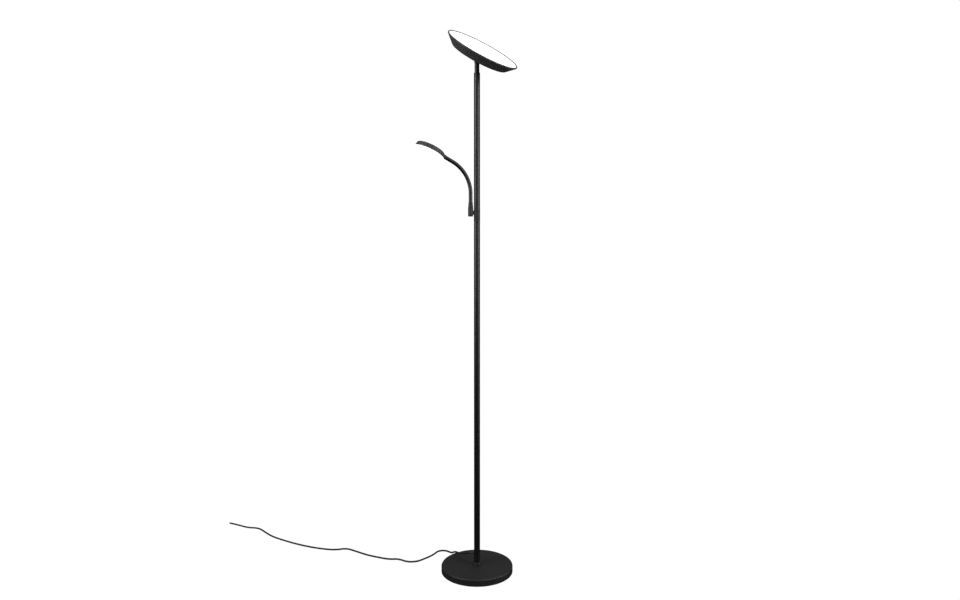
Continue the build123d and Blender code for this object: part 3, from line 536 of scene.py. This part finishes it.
def coil_points():
    """Control points of the coil's turns, a cord's width apart."""
    centre = (COIL_LOW + COIL_HIGH) / 2
    count = round(COIL_SWEEP / (2 * math.pi) * COIL_POINTS_PER_TURN)
    outward = 1 / math.cos(math.pi / COIL_POINTS_PER_TURN)
    points = []
    for step in range(1, count + 1):
        share = step / count * len(LANES)
        lane = min(int(share), len(LANES) - 1)
        radius, height = LANES[lane]
        until_next = lane + 1 - share
        since_last = share - lane
        if until_next < LANE_CHANGE and lane + 1 < len(LANES):
            part = 0.5 - 0.5 * until_next / LANE_CHANGE
            radius += part * (LANES[lane + 1][0] - radius)
            height += part * (LANES[lane + 1][1] - height)
        elif since_last < LANE_CHANGE and lane > 0:
            part = 0.5 - 0.5 * since_last / LANE_CHANGE
            radius += part * (LANES[lane - 1][0] - radius)
            height += part * (LANES[lane - 1][1] - height)
        angle = COIL_START + COIL_SWEEP * step / count
        x = centre.x + radius * outward * math.cos(angle)
        y = centre.y + radius * outward * math.sin(angle)
        points.append((x, y, height))
    return points


def plug_end():
    """Where the cord goes into the plug's sleeve, which points along -Y."""
    return Vector(((PLUG_LOW.x + PLUG_HIGH.x) / 2, PLUG_HIGH.y, (PLUG_LOW.z + PLUG_HIGH.z) / 2))


def make_cord():
    points = CORD_ROUTE + coil_points()
    end = plug_end()
    points.append((end.x, end.y, end.z))
    curve = bpy.data.curves.new("mains_cord", "CURVE")
    curve.dimensions = "3D"
    spline = curve.splines.new("NURBS")
    spline.points.add(len(points) - 1)
    for place, point in zip(spline.points, points):
        place.co = (*point, 1.0)
    spline.order_u = 3
    spline.use_endpoint_u = True
    curve.resolution_u = 10
    curve.bevel_depth = CORD_DIAMETER / 2
    curve.bevel_resolution = 6
    curve.use_fill_caps = True
    cord = bpy.data.objects.new("mains_cord", curve)
    bpy.context.scene.collection.objects.link(cord)
    dress(cord, "cable_sheath")
    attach(cord, "stand")
    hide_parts("cord_tube", "cord_coil")
    return cord


RELIEF_SIDES = 48
RELIEF_STEPS = 120
RELIEF_RIBS = 6
RELIEF_FOOT_RADIUS = 0.0055
RELIEF_TIP_RADIUS = 0.0037
RELIEF_GROOVE = 0.0006
RELIEF_SHARPNESS = 8
RIBS_START = 0.2
RIBS_END = 0.92
TIP_ROUND_START = 0.96
TIP_ROUND = 0.0003


def make_relief():
    """The tapered strain relief, with the grooves that let it bend."""
    outward = Vector(exit_point(1.0)) - Vector(exit_point(0.0))
    outward.normalize()
    side = outward.cross(Vector((0, 0, 1))).normalized()
    up = side.cross(outward)
    foot = Vector((0, 0, EXIT_Z))
    rings = []
    for step in range(RELIEF_STEPS + 1):
        share = step / RELIEF_STEPS
        distance = RELIEF_START + (RELIEF_END - RELIEF_START) * share
        radius = RELIEF_FOOT_RADIUS + (RELIEF_TIP_RADIUS - RELIEF_FOOT_RADIUS) * share
        if RIBS_START < share < RIBS_END:
            wave = math.sin(math.pi * RELIEF_RIBS * (share - RIBS_START) / (RIBS_END - RIBS_START))
            radius -= RELIEF_GROOVE * wave**RELIEF_SHARPNESS
        if share > TIP_ROUND_START:
            radius -= TIP_ROUND * ((share - TIP_ROUND_START) / (1 - TIP_ROUND_START)) ** 2
        rings.append(circle(foot + outward * distance, side, up, radius, RELIEF_SIDES))
    relief = loft("strain_relief", rings, "relief_plastic")
    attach(relief, "stand")
    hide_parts("cord_relief")
    return relief


PLUG_CORNERS = 12
PLUG_STATIONS = [
    # distance from the cord, half width, half thickness, squareness
    (0.0, 0.0034, 0.0034, 2.0),
    (0.0008, 0.0037, 0.0037, 2.0),
    (0.0160, 0.0049, 0.0049, 2.0),
    (0.0180, 0.0062, 0.0054, 2.4),
    (0.0200, 0.0085, 0.0060, 3.0),
    (0.0245, 0.0112, 0.0066, 3.6),
    (0.0300, 0.0134, 0.00675, 4.2),
    (0.0380, 0.0156, 0.0068, 4.8),
    (0.0430, 0.0172, 0.0068, 5.2),
    (0.0488, 0.0172, 0.0068, 5.2),
    (0.0505, 0.0164, 0.0062, 5.2),
    (0.0510, 0.0150, 0.0054, 5.2),
]
PLUG_GROOVES = [0.0255, 0.0285, 0.0315, 0.0345]
PLUG_GROOVE_DEPTH = 0.0005
PLUG_GROOVE_WIDTH = 0.0007
PLUG_STEPS = 140
SLEEVE_GROOVES = [0.0035, 0.0065, 0.0095, 0.0125]


def squircle(half_width, half_thick, power, count):
    """A rounded oblong, as (across, up) pairs."""
    pairs = []
    for step in range(count):
        angle = 2 * math.pi * step / count
        c = math.cos(angle)
        s = math.sin(angle)
        across = math.copysign(abs(c) ** (2 / power), c) * half_width
        up = math.copysign(abs(s) ** (2 / power), s) * half_thick
        pairs.append((across, up))
    return pairs


def plug_section(distance):
    """Half width, half thickness and squareness of the plug at a distance from the cord."""
    for low, high in zip(PLUG_STATIONS, PLUG_STATIONS[1:]):
        if distance <= high[0]:
            share = (distance - low[0]) / (high[0] - low[0])
            return [a + (b - a) * share for a, b in zip(low[1:], high[1:])]
    return list(PLUG_STATIONS[-1][1:])


def make_plug():
    """A flat two-pin plug with grip grooves and a tapered, grooved sleeve."""
    start = plug_end()
    along = Vector((0, -1, 0))
    side = Vector((1, 0, 0))
    up = Vector((0, 0, 1))
    length = PLUG_STATIONS[-1][0]
    rings = []
    for step in range(PLUG_STEPS + 1):
        distance = length * step / PLUG_STEPS
        wide, thick, power = plug_section(distance)
        for groove in PLUG_GROOVES + SLEEVE_GROOVES:
            gap = abs(distance - groove) / PLUG_GROOVE_WIDTH
            if gap < 1:
                cut = PLUG_GROOVE_DEPTH * (1 - gap**2)
                wide -= cut
                thick -= cut
        place = start + along * distance
        rings.append([place + side * a + up * b for a, b in squircle(wide, thick, power, 8 * PLUG_CORNERS)])
    plug = loft("plug_moulding", rings, "plug_plastic")
    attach(plug, "stand")
    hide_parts("plug_body")
    return plug


TIE_ANGLE = math.radians(255.0)
TIE_WIDTH = 0.006
TIE_THICKNESS = 0.0007
TIE_SQUARENESS = 5.0
TIE_STEPS = 96
TIE_HALF_SKIN = 0.45
TIE_EDGE = 0.0001


def make_tie():
    """A soft strap round the coil's turns, with rounded corners."""
    centre = (COIL_LOW + COIL_HIGH) / 2
    outward = Vector((math.cos(TIE_ANGLE), math.sin(TIE_ANGLE), 0))
    across = Vector((-math.sin(TIE_ANGLE), math.cos(TIE_ANGLE), 0))
    up = Vector((0, 0, 1))
    middle = Vector((centre.x, centre.y, 0)) + outward * (OUTER_TURN + INNER_TURN) / 2
    middle.z = (LOWER_LAYER + UPPER_LAYER) / 2
    reach = (OUTER_TURN - INNER_TURN + CORD_DIAMETER) / 2
    rise = (UPPER_LAYER - LOWER_LAYER + CORD_DIAMETER) / 2
    outline = squircle(reach + TIE_THICKNESS / 2, rise + TIE_THICKNESS / 2, TIE_SQUARENESS, TIE_STEPS)
    rings = []
    for a, b in outline + outline[:1]:
        inward = Vector((a, b)).normalized() * TIE_THICKNESS * TIE_HALF_SKIN
        ring = []
        for shift, sign in ((-1, 1), (1, 1), (1, -1), (-1, -1)):
            place = middle + outward * (a + sign * inward.x) + up * (b + sign * inward.y)
            ring.append(place + across * shift * TIE_WIDTH / 2)
        rings.append(ring)
    tie = loft("cord_strap", rings, "tie_plastic", False, False)
    bevel = tie.modifiers.new("edge", "BEVEL")
    bevel.width = TIE_EDGE
    bevel.segments = 2
    bevel.limit_method = "ANGLE"
    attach(tie, "stand")
    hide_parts("cord_tie")
    return tie


# ---------------------------------------------------------------- stage and light

def glow(name, strength):
    """A plain white that reads the same from every side."""
    material = bpy.data.materials.new(name)
    material.use_nodes = True
    tree = material.node_tree
    tree.nodes.clear()
    light = tree.nodes.new("ShaderNodeEmission")
    light.inputs["Color"].default_value = (1, 1, 1, 1)
    light.inputs["Strength"].default_value = strength
    output = tree.nodes.new("ShaderNodeOutputMaterial")
    tree.links.new(light.outputs["Emission"], output.inputs["Surface"])
    return material


def seen_only(item):
    """The item is seen, and doesn't light or shade the lamp."""
    item.visible_diffuse = False
    item.visible_glossy = False
    item.visible_transmission = False
    item.visible_shadow = False


FLOOR_HALF = 12.0
FLOOR_DROP = 0.0002


def stage_item(name, points, faces, material):
    mesh = bpy.data.meshes.new(name)
    mesh.from_pydata(points, [], faces)
    mesh.materials.append(material)
    item = bpy.data.objects.new(name, mesh)
    bpy.context.scene.collection.objects.link(item)
    seen_only(item)
    return item


# a low white card stands before the coil, and hides it from the camera
CARD_LEFT = -1.125
CARD_Y = 0.300
CARD_HEIGHT = 0.067
STAGE_GLOW = 1.02
LAST_SEEN = Vector((-0.990, 0.417, 0.0028))


def make_stage():
    white = glow("stage_white", STAGE_GLOW)
    h = FLOOR_HALF
    z = -FLOOR_DROP
    stage_item("floor", [(-h, -h, z), (h, -h, z), (h, h, z), (-h, h, z)], [(0, 1, 2, 3)], white)
    eye = Vector(CAMERA_PLACE)
    share = (CARD_Y - eye.y) / (LAST_SEEN.y - eye.y)
    right = eye.x + (LAST_SEEN.x - eye.x) * share
    corners = [(CARD_LEFT, CARD_Y, 0), (right, CARD_Y, 0)]
    corners += [(right, CARD_Y, CARD_HEIGHT), (CARD_LEFT, CARD_Y, CARD_HEIGHT)]
    stage_item("card", corners, [(0, 1, 2, 3)], white)
    walls = []
    for corner in ((-h, -h), (h, -h), (h, h), (-h, h)):
        walls += [(corner[0], corner[1], z), (corner[0], corner[1], h)]
    sides = [(0, 1, 3, 2), (2, 3, 5, 4), (4, 5, 7, 6), (6, 7, 1, 0), (1, 3, 5, 7)]
    stage_item("backdrop", walls, sides, white)


def area_light(name, place, target, width, height, power):
    data = bpy.data.lights.new(name, "AREA")
    data.shape = "RECTANGLE"
    data.size = width
    data.size_y = height
    data.energy = power
    light = bpy.data.objects.new(name, data)
    light.location = place
    aim = Vector(target) - Vector(place)
    light.rotation_mode = "QUATERNION"
    light.rotation_quaternion = aim.to_track_quat("-Z", "Y")
    bpy.context.scene.collection.objects.link(light)
    light.visible_camera = False
    return light


# share of the way up from straight down to straight up, and how bright the surroundings are there
SKY_STOPS = [(0.35, 0.03), (0.85, 0.17)]


def make_world():
    """Dim surroundings, a little paler above than below."""
    world = bpy.data.worlds.new("studio")
    bpy.context.scene.world = world
    world.use_nodes = True
    tree = world.node_tree
    background = tree.nodes["Background"]
    direction = tree.nodes.new("ShaderNodeTexCoord").outputs["Generated"]
    split = tree.nodes.new("ShaderNodeSeparateXYZ")
    tree.links.new(direction, split.inputs["Vector"])
    ramp = tree.nodes.new("ShaderNodeValToRGB")
    rise = tree.nodes.new("ShaderNodeMapRange")
    rise.inputs["From Min"].default_value = -1.0
    tree.links.new(split.outputs["Z"], rise.inputs["Value"])
    tree.links.new(rise.outputs["Result"], ramp.inputs["Fac"])
    for element, (height, tone) in zip(ramp.color_ramp.elements, SKY_STOPS):
        element.position = height
        element.color = (tone, tone, tone, 1)
    tree.links.new(ramp.outputs["Color"], background.inputs["Color"])
    background.inputs["Strength"].default_value = 1.0


LIGHTS = [
    # name, place, target, width, height, watts
    ("softbox_left", (-2.0, -1.1, 1.9), (0, 0, 1.5), 1.4, 2.2, 42),
    ("softbox_right", (2.1, -0.9, 1.9), (0, 0, 1.5), 1.2, 2.2, 38),
    ("top_light", (0.2, 1.0, 3.4), (0, 0, 0.5), 1.6, 1.6, 5),
    ("front_light", (0.9, -3.2, 2.0), (0, 0, 1.3), 1.6, 1.8, 15),
    ("low_right_light", (1.7, -0.1, 0.5), (0, 0, 1.6), 0.9, 0.9, 5),
]


def make_lights():
    for settings in LIGHTS:
        area_light(*settings)


# ---------------------------------------------------------------- build

bpy.context.scene.view_settings.view_transform = "Standard"
make_camera()
dress_frame()
make_gooseneck()
cord = make_cord()
relief = make_relief()
plug = make_plug()
tie = make_tie()
make_stage()
make_world()
make_lights()
